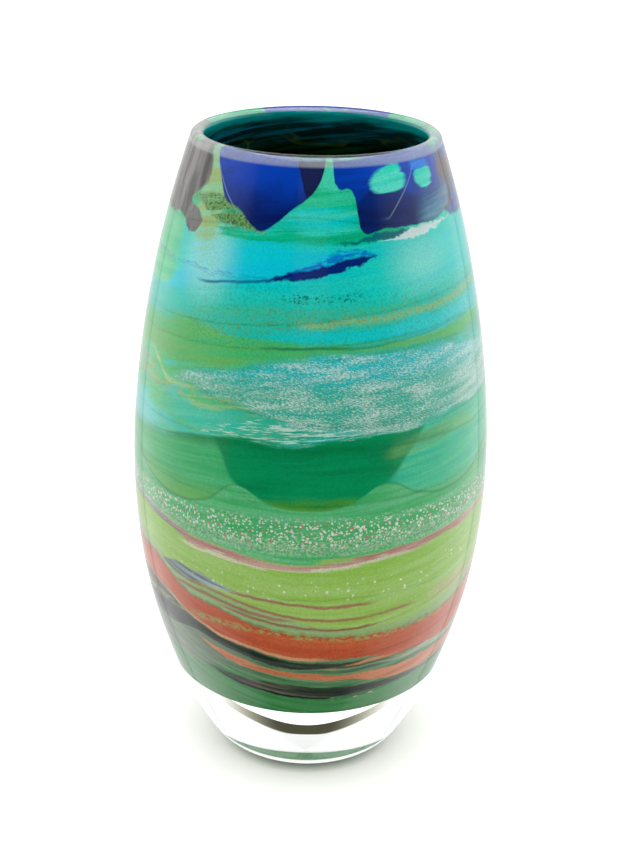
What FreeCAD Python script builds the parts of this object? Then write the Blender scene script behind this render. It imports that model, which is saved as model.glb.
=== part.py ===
"""Hand blown art glass vase: a barrel-shaped vase laid up hot from separate pieces of glass.

A thin clear inner gather is covered by a coloured layer, and the coloured layer by a clear outer gather that also
makes the heavy base. The coloured layer is itself a lay-up: powder and frit bands one above the other, with shards,
chips, feathers and threads let into them. Every piece is its own closed solid and meets its neighbours face to face.

Millimetres, +Z up, origin at the centre of the foot. Azimuth 0 points to the front (-Y) and grows towards +X.
"""
import FreeCAD, Part
import math
import os

# --- driving dimensions -----------------------------------------------------------------------------------------
HEIGHT = 230.0            # foot to lip
LIP_CREST_RADIUS = 39.7   # top of the lip
LIP_WALL = 5.2            # wall at the lip, rounded over by a half circle
LIP_LEAN = 18.5           # degrees that the wall leans in at the lip
FOOT_RADIUS = 20.0        # flat ground face that the vase stands on
FOOT_ROUNDING = 20.0      # radius of the foot's rounded edge
FOOT_LEAN = 32.0          # degrees that the wall leans out where the rounded edge ends
BASE_THICKNESS = 27.5     # clear glass under the coloured cup
COLOUR_THICKNESS = 1.4    # coloured layer
LINING_THICKNESS = 1.5    # inner gather, at the neck and at the floor
COLOUR_TOP = 228.6        # the coloured layer runs up into the lip, whose crest is clear
COLOUR_TOP_RADIUS = 40.1  # outside of the coloured layer there

# Outside of the wall between the foot and the lip: radius, height.
OUTER_WALL = [(41.3, 17.0), (49.1, 35.5), (57.0, 61.0), (62.0, 92.0), (62.7, 121.0), (60.1, 151.5),
              (54.6, 183.5), (47.5, 211.5)]
# Outside of the coloured cup between its floor and its top: radius, height.
COLOUR_WALL = [(22.0, 30.0), (36.0, 37.5), (46.8, 52.5), (55.6, 79.0), (59.3, 105.0), (59.3, 121.0),
               (56.8, 151.5), (51.6, 183.5), (45.0, 211.5)]

# The surfaces that split the coloured layer run radially between these two radii.
CUTTER_INNER_RADIUS = 20.0
CUTTER_OUTER_RADIUS = 90.0

# Coloured bands from the foot up, each with its upper edge as azimuth and height. The last one runs to the lip.
BANDS = [
    ("green_foot_cup", [(0, 43), (50, 44), (110, 48), (180, 51), (250, 50), (310, 47)]),
    ("slate_swirl_band", [(0, 60), (45, 62), (100, 70), (180, 79), (250, 82), (310, 70)]),
    ("orange_band", [(0, 72), (45, 76), (100, 88), (180, 96), (250, 96), (310, 85)]),
    ("lime_band", [(0, 98), (50, 102), (110, 108), (180, 110), (250, 108), (310, 102)]),
    ("mauve_thread", [(0, 102), (50, 106), (110, 111), (180, 113), (250, 112), (310, 106)]),
    ("speckled_frit_band", [(0, 119), (60, 121), (120, 123), (180, 124), (240, 122), (300, 120)]),
    ("emerald_band", [(0, 142), (60, 144), (120, 146), (180, 144), (240, 141), (300, 139)]),
    ("sea_green_band", [(0, 171), (60, 174), (120, 172), (180, 169), (240, 166), (300, 167)]),
    ("olive_band", [(0, 179), (60, 184), (120, 183), (180, 178), (240, 174), (300, 174)]),
    ("turquoise_band", [(0, 211), (30, 208), (60, 209), (120, 209), (180, 211), (240, 207), (315, 206)]),
    ("mint_neck_band", None),
]

# Pieces let into a band: name, the piece that they are let into, and their outline as azimuth and height.
INLAYS = [
    ("orange_trail", "slate_swirl_band", [(-44, 60), (-15, 56.5), (25, 56), (60, 58.5), (28, 52), (-12, 52)]),
    ("white_frit_feather", "sea_green_band",
     [(-56, 157), (-20, 164), (20, 169), (70, 168), (140, 157), (75, 149), (20, 145), (-20, 149)]),
    ("blue_feather_streak", "turquoise_band",
     [(-34, 190), (-34, 191), (-12, 196), (10, 201.5), (24, 202.5), (26, 200.5), (10, 197), (-12, 193)]),
    ("white_crest_thread", "turquoise_band", [(20, 203), (46, 206.6), (72, 206.4), (48, 204.6)]),
    ("cobalt_shard_left", "mint_neck_band",
     [(-47, 232), (-37, 221), (-28, 213), (-18, 210), (-9, 213), (0, 220), (6, 232), (-20, 240)]),
    ("cobalt_shard_right", "mint_neck_band",
     [(9, 232), (14, 219), (24, 212), (40, 211.5), (54, 212), (59, 222), (60, 232), (35, 240)]),
    ("charcoal_shard_left", "mint_neck_band",
     [(-52, 232), (-57, 222), (-49, 214), (-58, 210), (-80, 210), (-97, 215), (-99, 232), (-75, 240)]),
    ("charcoal_shard_right", "mint_neck_band",
     [(65, 232), (63, 222), (67, 213), (85, 212), (101, 216), (103, 232), (84, 240)]),
    ("cobalt_shard_back", "mint_neck_band",
     [(138, 232), (146, 220), (168, 214.5), (190, 218), (203, 232), (170, 240)]),
    ("turquoise_chip_large", "cobalt_shard_right", [(24, 222), (31, 226), (39, 223), (32, 218.5)]),
    ("turquoise_chip_small", "cobalt_shard_right", [(44, 223), (49, 226), (54.5, 223), (49, 220)]),
]

# --- profiles -----------------------------------------------------------------------------------------------------
LIP_ROUNDING = LIP_WALL / 2
LIP_CENTRE = HEIGHT - LIP_ROUNDING
OFFSET_STATIONS = 14


def at(radius, height):
    """Point of a profile, in the half plane that is turned round the axis."""
    return FreeCAD.Vector(radius, 0, height)


def profile_curve(points):
    """Smooth profile through radius and height pairs. One that starts on the axis leaves it level."""
    stations = [at(*point) for point in points]
    starts_on_axis = stations[0].x == 0
    if starts_on_axis:
        mirrored = [at(-station.x, station.z) for station in stations[1:]]
        stations = mirrored[::-1] + stations
    distances = [0.0]
    for before, after in zip(stations, stations[1:]):
        distances.append(distances[-1] + (after - before).Length)
    curve = Part.BSplineCurve()
    curve.interpolate(Points=stations, Parameters=distances)
    if starts_on_axis:
        curve.segment(distances[-1] / 2, distances[-1])
    return curve


def inner_side(curve, thickness):
    """Points of the profile at a constant distance inside a wall, without the last one."""
    points = []
    span = curve.LastParameter - curve.FirstParameter
    for i in range(OFFSET_STATIONS):
        station = curve.FirstParameter + span * i / OFFSET_STATIONS
        here = curve.value(station)
        along = curve.tangent(station)[0]
        points.append((here.x - thickness * along.z if i else 0, here.z + thickness * along.x))
    return points


def line(start, end):
    return Part.LineSegment(start, end).toShape()


def arc(start, middle, end):
    return Part.Arc(start, middle, end).toShape()


def turned(edges):
    """Solid of revolution of a closed profile."""
    face = Part.Face(Part.Wire(edges))
    return face.revolve(FreeCAD.Vector(0, 0, 0), FreeCAD.Vector(0, 0, 1), 360)


def lip_point(degrees):
    """Point of the lip's rounding, by its angle from straight outwards."""
    turn = math.radians(degrees)
    return at(LIP_CREST_RADIUS + LIP_ROUNDING * math.cos(turn), LIP_CENTRE + LIP_ROUNDING * math.sin(turn))


def foot_point(degrees):
    """Point of the foot's rounded edge, by its angle from straight down."""
    turn = math.radians(degrees)
    return at(FOOT_RADIUS + FOOT_ROUNDING * math.sin(turn), FOOT_ROUNDING * (1 - math.cos(turn)))


def colour_top_corners():
    """Outer and inner corner of the coloured layer's top."""
    return at(COLOUR_TOP_RADIUS, COLOUR_TOP), at(COLOUR_TOP_RADIUS - COLOUR_THICKNESS, COLOUR_TOP)


def lip_seam_angle():
    """Angle on the lip straight above the inner corner of the coloured layer, where the two gathers meet."""
    inner_corner = colour_top_corners()[1]
    return math.degrees(math.acos((inner_corner.x - LIP_CREST_RADIUS) / LIP_ROUNDING))


def wall_profiles():
    """The four wall surfaces from outside to inside, as curves that rise from the floor to the lip."""
    wall_foot = foot_point(90 - FOOT_LEAN)
    wall_top = lip_point(LIP_LEAN)
    lining_top = lip_point(180 + LIP_LEAN)
    colour_out_top, colour_in_top = colour_top_corners()
    outer = profile_curve([(wall_foot.x, wall_foot.z)] + OUTER_WALL + [(wall_top.x, wall_top.z)])
    colour_out = profile_curve([(0, BASE_THICKNESS)] + COLOUR_WALL + [(colour_out_top.x, colour_out_top.z)])
    colour_in = profile_curve(inner_side(colour_out, COLOUR_THICKNESS) + [(colour_in_top.x, colour_in_top.z)])
    lining_in = profile_curve(inner_side(colour_in, LINING_THICKNESS) + [(lining_top.x, lining_top.z)])
    return outer, colour_out, colour_in, lining_in


def outer_gather(outer, colour_out):
    """Clear outer wall, heavy base and the crest of the lip."""
    colour_out_top, seam = colour_top_corners()
    lip_seam = lip_point(lip_seam_angle())
    wall_top = lip_point(LIP_LEAN)
    half_way_round = lip_point((LIP_LEAN + lip_seam_angle()) / 2)
    foot_rim = foot_point(0)
    wall_foot = foot_point(90 - FOOT_LEAN)
    return turned([
        line(at(0, BASE_THICKNESS), at(0, 0)),
        line(at(0, 0), foot_rim),
        arc(foot_rim, foot_point((90 - FOOT_LEAN) / 2), wall_foot),
        outer.toShape(),
        arc(wall_top, half_way_round, lip_seam),
        line(lip_seam, seam),
        line(seam, colour_out_top),
        colour_out.toShape(),
    ])


def inner_gather(colour_in, lining_in):
    """Clear lining of the inside, with the inner slope of the lip."""
    seam = colour_top_corners()[1]
    lip_seam = lip_point(lip_seam_angle())
    lining_top = lip_point(180 + LIP_LEAN)
    half_way_round = lip_point((180 + LIP_LEAN + lip_seam_angle()) / 2)
    floor_out = colour_in.value(colour_in.FirstParameter)
    floor_in = lining_in.value(lining_in.FirstParameter)
    return turned([
        line(floor_in, floor_out),
        colour_in.toShape(),
        line(seam, lip_seam),
        arc(lip_seam, half_way_round, lining_top),
        lining_in.toShape(),
    ])


def coloured_layer(colour_out, colour_in):
    """The whole coloured layer before it is split into its pieces."""
    floor_out = colour_out.value(colour_out.FirstParameter)
    floor_in = colour_in.value(colour_in.FirstParameter)
    top_out, top_in = colour_top_corners()
    return turned([
        line(floor_in, floor_out),
        colour_out.toShape(),
        line(top_out, top_in),
        colour_in.toShape(),
    ])


# --- splitting the coloured layer ----------------------------------------------------------------------------------
def closed_edge(outline, radius):
    """Smooth closed edge through azimuth and height pairs on a cylinder of the given radius."""
    points = []
    for azimuth, height in outline:
        turn = math.radians(azimuth)
        points.append(FreeCAD.Vector(radius * math.sin(turn), -radius * math.cos(turn), height))
    curve = Part.BSplineCurve()
    curve.interpolate(Points=points, PeriodicFlag=True)
    return curve.toShape()


def radial_cutter(outline):
    """Surface that runs radially through the coloured layer along an outline."""
    return Part.makeRuledSurface(closed_edge(outline, CUTTER_INNER_RADIUS),
                                 closed_edge(outline, CUTTER_OUTER_RADIUS))


def split(solid, outline):
    """The solids that a radial cut along an outline leaves."""
    origins = solid.generalFuse([radial_cutter(outline)])[1]
    return [piece for piece in origins[0] if piece.ShapeType == "Solid"]


def split_bands(layer):
    """Coloured bands by name, taken off from the foot up."""
    bands = {}
    rest = layer
    for name, top in BANDS[:-1]:
        below, rest = sorted(split(rest, top), key=lambda piece: piece.CenterOfMass.z)
        bands[name] = below
    bands[BANDS[-1][0]] = rest
    return bands


def let_in(pieces, name, host, outline):
    """Takes an inlay out of its host piece: the smaller part inside the outline."""
    inlay, remainder = sorted(split(pieces[host], outline), key=lambda piece: piece.Volume)
    pieces[name] = inlay
    pieces[host] = remainder


def build():
    outer, colour_out, colour_in, lining_in = wall_profiles()
    pieces = split_bands(coloured_layer(colour_out, colour_in))
    for name, host, outline in INLAYS:
        let_in(pieces, name, host, outline)
    pieces["outer_gather"] = outer_gather(outer, colour_out)
    pieces["inner_gather"] = inner_gather(colour_in, lining_in)
    return pieces


os.makedirs("parts", exist_ok=True)
for node, shape in build().items():
    print(node, shape.ShapeType, shape.isValid(), len(shape.Faces), round(shape.Volume, 1))
    shape.exportStep(f"parts/{node}.step")
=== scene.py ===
import math

import bmesh
import bpy
import numpy as np
from mathutils import Matrix


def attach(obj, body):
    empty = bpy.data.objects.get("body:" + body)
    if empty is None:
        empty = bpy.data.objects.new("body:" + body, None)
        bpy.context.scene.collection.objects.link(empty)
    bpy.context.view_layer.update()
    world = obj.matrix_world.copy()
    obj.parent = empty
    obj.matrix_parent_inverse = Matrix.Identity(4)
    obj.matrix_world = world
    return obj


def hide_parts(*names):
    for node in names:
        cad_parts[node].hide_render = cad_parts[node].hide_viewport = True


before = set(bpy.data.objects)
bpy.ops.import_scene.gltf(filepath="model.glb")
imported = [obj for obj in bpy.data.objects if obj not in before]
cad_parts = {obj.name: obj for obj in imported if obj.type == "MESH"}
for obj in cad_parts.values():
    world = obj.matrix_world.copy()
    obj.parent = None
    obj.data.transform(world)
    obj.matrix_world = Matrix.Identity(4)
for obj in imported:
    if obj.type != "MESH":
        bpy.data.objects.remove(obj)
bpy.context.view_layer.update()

# --- sizes of the vase, in millimetres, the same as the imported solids' ---
MM = 0.001
HEIGHT = 230.0
LIP_CREST_RADIUS, LIP_ROUNDING, LIP_LEAN = 39.7, 2.6, 18.5
FOOT_RADIUS, FOOT_ROUNDING, FOOT_LEAN = 20.0, 20.0, 32.0
BASE_THICKNESS, COLOUR_THICKNESS, LINING_THICKNESS = 27.5, 1.4, 1.5
COLOUR_TOP_RADIUS, COLOUR_TOP = 40.1, 228.6
OUTER_WALL = [(41.3, 17.0), (49.1, 35.5), (57.0, 61.0), (62.0, 92.0), (62.7, 121.0), (60.1, 151.5),
              (54.6, 183.5), (47.5, 211.5)]
COLOUR_WALL = [(22.0, 30.0), (36.0, 37.5), (46.8, 52.5), (55.6, 79.0), (59.3, 105.0), (59.3, 121.0),
               (56.8, 151.5), (51.6, 183.5), (45.0, 211.5)]
SINK = 0.05               # coloured pieces reach this far into the clear glass, so no air is left
TURNS = 240               # steps round the vase
ROW_STATIONS = 1.2        # stations of the wall per row of faces in a band
INLAY_STEP = 0.75         # degrees per step along a shard, trail, feather, thread or chip
FULL_SWELL_SPAN = 6       # a shape that spans fewer stations swells less

# --- the lay-up: azimuth in degrees (0 at the front, growing to the right) and height in millimetres ---
BAND_TOPS = {
    "green_foot_cup": [(0, 43), (50, 44), (110, 48), (180, 51), (250, 50), (310, 47)],
    "slate_swirl_band": [(0, 60), (45, 62), (100, 70), (180, 79), (250, 82), (310, 70)],
    "orange_band": [(0, 72), (45, 76), (100, 88), (180, 96), (250, 96), (310, 85)],
    "lime_band": [(0, 98), (50, 102), (110, 108), (180, 110), (250, 108), (310, 102)],
    "mauve_thread": [(0, 102), (50, 106), (110, 111), (180, 113), (250, 112), (310, 106)],
    "speckled_frit_band": [(0, 119), (60, 121), (120, 123), (180, 124), (240, 122), (300, 120)],
    "emerald_band": [(0, 142), (60, 144), (120, 146), (180, 144), (240, 141), (300, 139)],
    "sea_green_band": [(0, 171), (60, 174), (120, 172), (180, 169), (240, 166), (300, 167)],
    "olive_band": [(0, 179), (60, 184), (120, 183), (180, 178), (240, 174), (300, 174)],
    "turquoise_band": [(0, 211), (30, 208), (60, 209), (120, 209), (180, 211), (240, 207), (315, 206)],
    "mint_neck_band": [(0, COLOUR_TOP), (120, COLOUR_TOP), (240, COLOUR_TOP)],
}
T = COLOUR_TOP
INLAYS = {  # lower edge and upper edge, from the left tip to the right tip
    "orange_trail": ([(-44, 60), (-15, 52.5), (25, 52), (60, 58.5)],
                     [(-44, 60), (-15, 56.5), (25, 56), (60, 58.5)]),
    "white_frit_feather": ([(-56, 157), (-20, 149), (20, 145), (75, 149), (140, 157)],
                           [(-56, 157), (-20, 164), (20, 169), (70, 168), (140, 157)]),
    "blue_feather_streak": ([(-34, 190.5), (-12, 193), (10, 197), (26, 201)],
                            [(-34, 190.5), (-12, 196), (10, 201.5), (26, 201)]),
    "white_crest_thread": ([(20, 203), (48, 204.6), (72, 206.4)], [(20, 203), (46, 206.6), (72, 206.4)]),
    "cobalt_shard_left": ([(-46, T), (-37, 221), (-28, 213), (-18, 209), (-9, 213), (0, 220), (5, T)],
                          [(-46, T), (5, T)]),
    "cobalt_shard_right": ([(10, T), (14, 219), (24, 211), (40, 210.5), (54, 211), (58, 222), (60, T)],
                           [(10, T), (60, T)]),
    "charcoal_shard_left": ([(-98, T), (-95, 215), (-80, 210), (-62, 209), (-54, 213), (-51, T)],
                            [(-98, T), (-51, T)]),
    "charcoal_shard_right": ([(62, T), (64, 216), (74, 211.5), (88, 212), (100, 217), (103, T)],
                             [(62, T), (103, T)]),
    "cobalt_shard_back": ([(139, T), (146, 220), (168, 214.5), (190, 218), (203, T)], [(139, T), (203, T)]),
    "turquoise_chip_large": ([(24, 222), (31, 218.8), (39, 223)], [(24, 222), (32, 225.5), (39, 223)]),
    "turquoise_chip_small": ([(44, 222.5), (49, 220), (54, 223)], [(44, 222.5), (48, 225), (54, 223)]),
}


# --- outlines ---
def cubic_through(knots, values, at):
    """Natural cubic through values (one row per knot), at the given stations."""
    gaps = np.diff(knots)
    count = len(knots)
    system, right = np.eye(count), np.zeros_like(values)
    for i in range(1, count - 1):
        system[i, i - 1:i + 2] = gaps[i - 1], 2 * (gaps[i - 1] + gaps[i]), gaps[i]
        right[i] = 6 * ((values[i + 1] - values[i]) / gaps[i] - (values[i] - values[i - 1]) / gaps[i - 1])
    bend = np.linalg.solve(system, right)
    i = np.clip(np.searchsorted(knots, at) - 1, 0, count - 2)
    a, b, gap = knots[i + 1] - at, at - knots[i], gaps[i]
    a, b, gap = a[:, None], b[:, None], gap[:, None]
    return ((bend[i] * a ** 3 + bend[i + 1] * b ** 3) / (6 * gap)
            + (values[i] / gap - bend[i] * gap / 6) * a + (values[i + 1] / gap - bend[i + 1] * gap / 6) * b)


def profile(points, steps=260):
    """Samples of a smooth profile. One that starts on the axis leaves it level."""
    points = np.array(points, float)
    if points[0, 0] == 0:
        points = np.vstack([points[:0:-1] * (-1, 1), points])
    knots = np.concatenate([[0], np.cumsum(np.linalg.norm(np.diff(points, axis=0), axis=1))])
    start = knots[-1] / 2 if points[0, 0] < 0 else 0
    samples = cubic_through(knots, points, np.linspace(start, knots[-1], steps + 1))
    samples[:, 0] = np.maximum(samples[:, 0], 0)
    return samples


def inward(samples, distance):
    """The same profile moved into the vase by a distance."""
    along = np.gradient(samples, axis=0)
    along /= np.linalg.norm(along, axis=1)[:, None]
    moved = samples + distance * np.stack([-along[:, 1], along[:, 0]], axis=1)
    moved[0, 0] = samples[0, 0]
    return moved


def arc(centre, radius, start, end, steps):
    """Points of an arc, angles in degrees from straight outwards."""
    turn = np.radians(np.linspace(start, end, steps + 1))
    return np.stack([centre[0] + radius * np.cos(turn), centre[1] + radius * np.sin(turn)], axis=1)


def closed_line(pairs, azimuths):
    """Heights at these azimuths on a smooth line through the pairs, the same after a whole turn."""
    turns = sorted((azimuth + 360 * k, height) for k in (-1, 0, 1, 2) for azimuth, height in pairs)
    knots, heights = np.array(turns, float).T
    return cubic_through(knots, heights[:, None], np.mod(azimuths, 360.0))[:, 0]


def open_line(pairs, azimuths):
    """Heights at these azimuths on a smooth line between two tips."""
    knots, heights = np.array(pairs, float).T
    if len(pairs) == 2:
        return np.interp(azimuths, knots, heights)
    return cubic_through(knots, heights[:, None], azimuths)[:, 0]


LIP_CENTRE = (LIP_CREST_RADIUS, HEIGHT - LIP_ROUNDING)
FOOT_ARC = arc((FOOT_RADIUS, FOOT_ROUNDING), FOOT_ROUNDING, -90, -FOOT_LEAN, 20)
LIP_ARC = arc(LIP_CENTRE, LIP_ROUNDING, LIP_LEAN, 180 + LIP_LEAN, 40)
OUTSIDE = profile([FOOT_ARC[-1]] + OUTER_WALL + [LIP_ARC[0]])
COLOUR_OUT = profile([(0, BASE_THICKNESS)] + COLOUR_WALL + [(COLOUR_TOP_RADIUS, COLOUR_TOP)])
COLOUR_IN = inward(COLOUR_OUT, COLOUR_THICKNESS)
LINING_IN = profile(list(inward(COLOUR_IN, LINING_THICKNESS)[:-20:16]) + [LIP_ARC[-1]])
STATIONS = np.arange(len(COLOUR_OUT))


# --- meshes ---
def add_piece(name, node, vertices, faces, material):
    """Smooth mesh object from millimetre vertices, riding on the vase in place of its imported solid."""
    mesh = bpy.data.meshes.new(name)
    mesh.from_pydata((np.asarray(vertices) * MM).tolist(), [], faces)
    shape = bmesh.new()
    shape.from_mesh(mesh)
    bmesh.ops.remove_doubles(shape, verts=shape.verts, dist=1e-6)
    bmesh.ops.dissolve_degenerate(shape, edges=shape.edges, dist=1e-7)
    bmesh.ops.recalc_face_normals(shape, faces=shape.faces)
    shape.to_mesh(mesh)
    shape.free()
    mesh.polygons.foreach_set("use_smooth", [True] * len(mesh.polygons))
    mesh.materials.append(material)
    piece = bpy.data.objects.new(name, mesh)
    bpy.context.collection.objects.link(piece)
    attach(piece, "root")
    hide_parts(node)
    return piece


def on_turn(radius, azimuth, height):
    """Places at these radii, azimuths in degrees and heights, one row each."""
    turn = np.radians(azimuth)
    return np.stack(np.broadcast_arrays(radius * np.sin(turn), -radius * np.cos(turn), height), axis=-1)


def turned_mesh(outline):
    """Vertices and faces of a profile turned round the axis."""
    outline = np.array(outline)
    azimuths = np.arange(TURNS)[:, None] * 360 / TURNS
    vertices = on_turn(outline[:, 0], azimuths, outline[:, 1]).reshape(-1, 3)
    rows = len(outline)
    faces = []
    for k in range(TURNS):
        here, there = k * rows, (k + 1) % TURNS * rows
        faces += [(here + i, there + i, there + i + 1, here + i + 1) for i in range(rows - 1)]
    return vertices, faces


def station(heights):
    """Places along the coloured wall at these heights."""
    return np.interp(heights, COLOUR_OUT[:, 1], STATIONS)


def in_layer(azimuths, places, depth):
    """Points of the coloured layer. Depth 0 is its outer side and 1 its inner, both sunk into the clear."""
    outer = [np.interp(places, STATIONS, COLOUR_OUT[:, k]) for k in (0, 1)]
    inner = [np.interp(places, STATIONS, COLOUR_IN[:, k]) for k in (0, 1)]
    depth = depth * (1 + 2 * SINK / COLOUR_THICKNESS) - SINK / COLOUR_THICKNESS
    radius = np.maximum(outer[0] + (inner[0] - outer[0]) * depth, 0)
    return on_turn(radius, azimuths, outer[1] + (inner[1] - outer[1]) * depth)


def shell_mesh(azimuths, low, high, rows, rise, back, closed):
    """Closed solid between two edges. Its outer side rises in the middle, and its back lies at a depth."""
    part = np.linspace(0, 1, rows + 1)
    span = (high - low)[:, None]
    places = low[:, None] + span * part
    swell = rise * 4 * part * (1 - part) * np.minimum(1, span / FULL_SWELL_SPAN)
    outer = in_layer(azimuths[:, None], places, -swell / COLOUR_THICKNESS)
    inner = in_layer(azimuths[:, None], places, back)
    vertices = np.concatenate([outer.reshape(-1, 3), inner.reshape(-1, 3)])
    columns, per_side = len(azimuths), outer.size // 3
    ends = [rows] if low[0] == 0 else [0, rows]
    faces = []
    for column in range(columns if closed else columns - 1):
        here, there = column * (rows + 1), (column + 1) % columns * (rows + 1)
        for row in range(rows):
            a, b, c, d = here + row, there + row, there + row + 1, here + row + 1
            faces += [(a, b, c, d), (a + per_side, d + per_side, c + per_side, b + per_side)]
        for end in ends:
            a, b = here + end, there + end
            faces.append((a, b, b + per_side, a + per_side))
    return vertices, faces


def ring_piece(node, below, material):
    """A band that runs all the way round, between the top of the band below it and its own top."""
    azimuths = np.arange(TURNS) * 360 / TURNS
    high = station(closed_line(BAND_TOPS[node], azimuths))
    low = station(closed_line(BAND_TOPS[below], azimuths)) if below else np.zeros(TURNS)
    rows = max(6, int((high[0] - low[0]) / ROW_STATIONS))
    vertices, faces = shell_mesh(azimuths, low, high, rows, rise=0.0, back=1.0, closed=True)
    return add_piece(node + "_glass", node, vertices, faces, material)


def inlay_piece(node, material):
    """A shard, trail, streak or chip: a thin sheet laid on the bands and melted into them."""
    lower, upper = INLAYS[node]
    first, last = lower[0][0], lower[-1][0]
    azimuths = np.linspace(first, last, max(16, int((last - first) / INLAY_STEP)) + 1)
    low = station(open_line(lower, azimuths))
    high = np.maximum(station(open_line(upper, azimuths)), low)
    vertices, faces = shell_mesh(azimuths, low, high, 12, rise=0.1, back=0.4, closed=False)
    return add_piece(node + "_glass", node, vertices, faces, material)


# --- node trees ---
LIGHT_UNDER_GLASS = 0.92   # light that reaches the colour, as a share of the white of the table
SURFACE_GLOSS = 0.003      # what the polished surface mirrors on top of the colour
LEAVING, SENT_BACK = 0.367, 0.596   # shares of the light under the glass that leave it, and that are sent back
CASING_LIFT = 3.8          # the colour shows this much higher on the casing than it lies, right at the foot
NO_LIFT_HEIGHT = 280.0     # the lift shrinks evenly up to this height
LINE_TOP = 240.0           # height that upright lines are drawn up to


def cased(red, green, blue):
    """Own colour of the opaque glass that looks like this sRGB colour under thick clear casing."""
    own = []
    for channel in (red, green, blue):
        level = channel / 255
        level = level / 12.92 if level < 0.04 else ((level + 0.055) / 1.055) ** 2.4
        level = max(level - SURFACE_GLOSS, 0.001) / LIGHT_UNDER_GLASS
        own.append(min(level / (LEAVING + SENT_BACK * level), 0.95))
    return (*own, 1.0)


class Recipe:
    """Writes a node tree one step at a time: each method adds a node and returns its output."""

    def __init__(self, tree):
        self.nodes, self.links = tree.nodes, tree.links

    def add(self, kind, inputs, **settings):
        node = self.nodes.new(kind)
        for name, value in settings.items():
            setattr(node, name, value)
        for key, value in inputs.items():
            if isinstance(value, bpy.types.NodeSocket):
                self.links.new(value, node.inputs[key])
            else:
                node.inputs[key].default_value = value
        return node

    def math(self, operation, a, b=0.0):
        return self.add("ShaderNodeMath", {0: a, 1: b}, operation=operation).outputs[0]

    def total(self, first, *others):
        for other in others:
            first = self.math("ADD", first, other)
        return first

    def product(self, first, *others):
        for other in others:
            first = self.math("MULTIPLY", first, other)
        return first

    def invert(self, value):
        return self.math("SUBTRACT", 1.0, value)

    def smooth(self, value, low, high):
        """0 at low and 1 at high, with soft ends."""
        inputs = {"Value": value, "From Min": low, "From Max": high}
        return self.add("ShaderNodeMapRange", inputs, interpolation_type="SMOOTHSTEP").outputs[0]

    def mix(self, share, a, b):
        return self.add("ShaderNodeMix", {0: share, 6: a, 7: b}, data_type="RGBA").outputs[2]

    def vector(self, x, y, z):
        return self.add("ShaderNodeCombineXYZ", {0: x, 1: y, 2: z}).outputs[0]

    def noise(self, vector, size=1.0, detail=2.0, roughness=0.5, twist=0.0):
        """Soft noise between 0 and 1, with features of about that size."""
        inputs = {"Vector": vector, "Scale": 1 / size, "Detail": detail, "Roughness": roughness,
                  "Distortion": twist}
        return self.add("ShaderNodeTexNoise", inputs).outputs[0]

    def cells(self, vector, size):
        """Distance from the middle of random cells of that size, and a random colour per cell."""
        node = self.add("ShaderNodeTexVoronoi", {"Vector": vector, "Scale": 1 / size})
        return node.outputs["Distance"], node.outputs["Color"]

    def curve(self, value, points):
        """Smooth curve through points, with both numbers between 0 and 1."""
        node = self.add("ShaderNodeFloatCurve", {"Value": value})
        curve = node.mapping.curves[0]
        node.mapping.extend = "HORIZONTAL"
        curve.points[0].location, curve.points[1].location = points[0], points[-1]
        for point in points[1:-1]:
            curve.points.new(*point)
        for point in curve.points:
            point.handle_type = "AUTO"
        node.mapping.update()
        return node.outputs[0]


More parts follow.
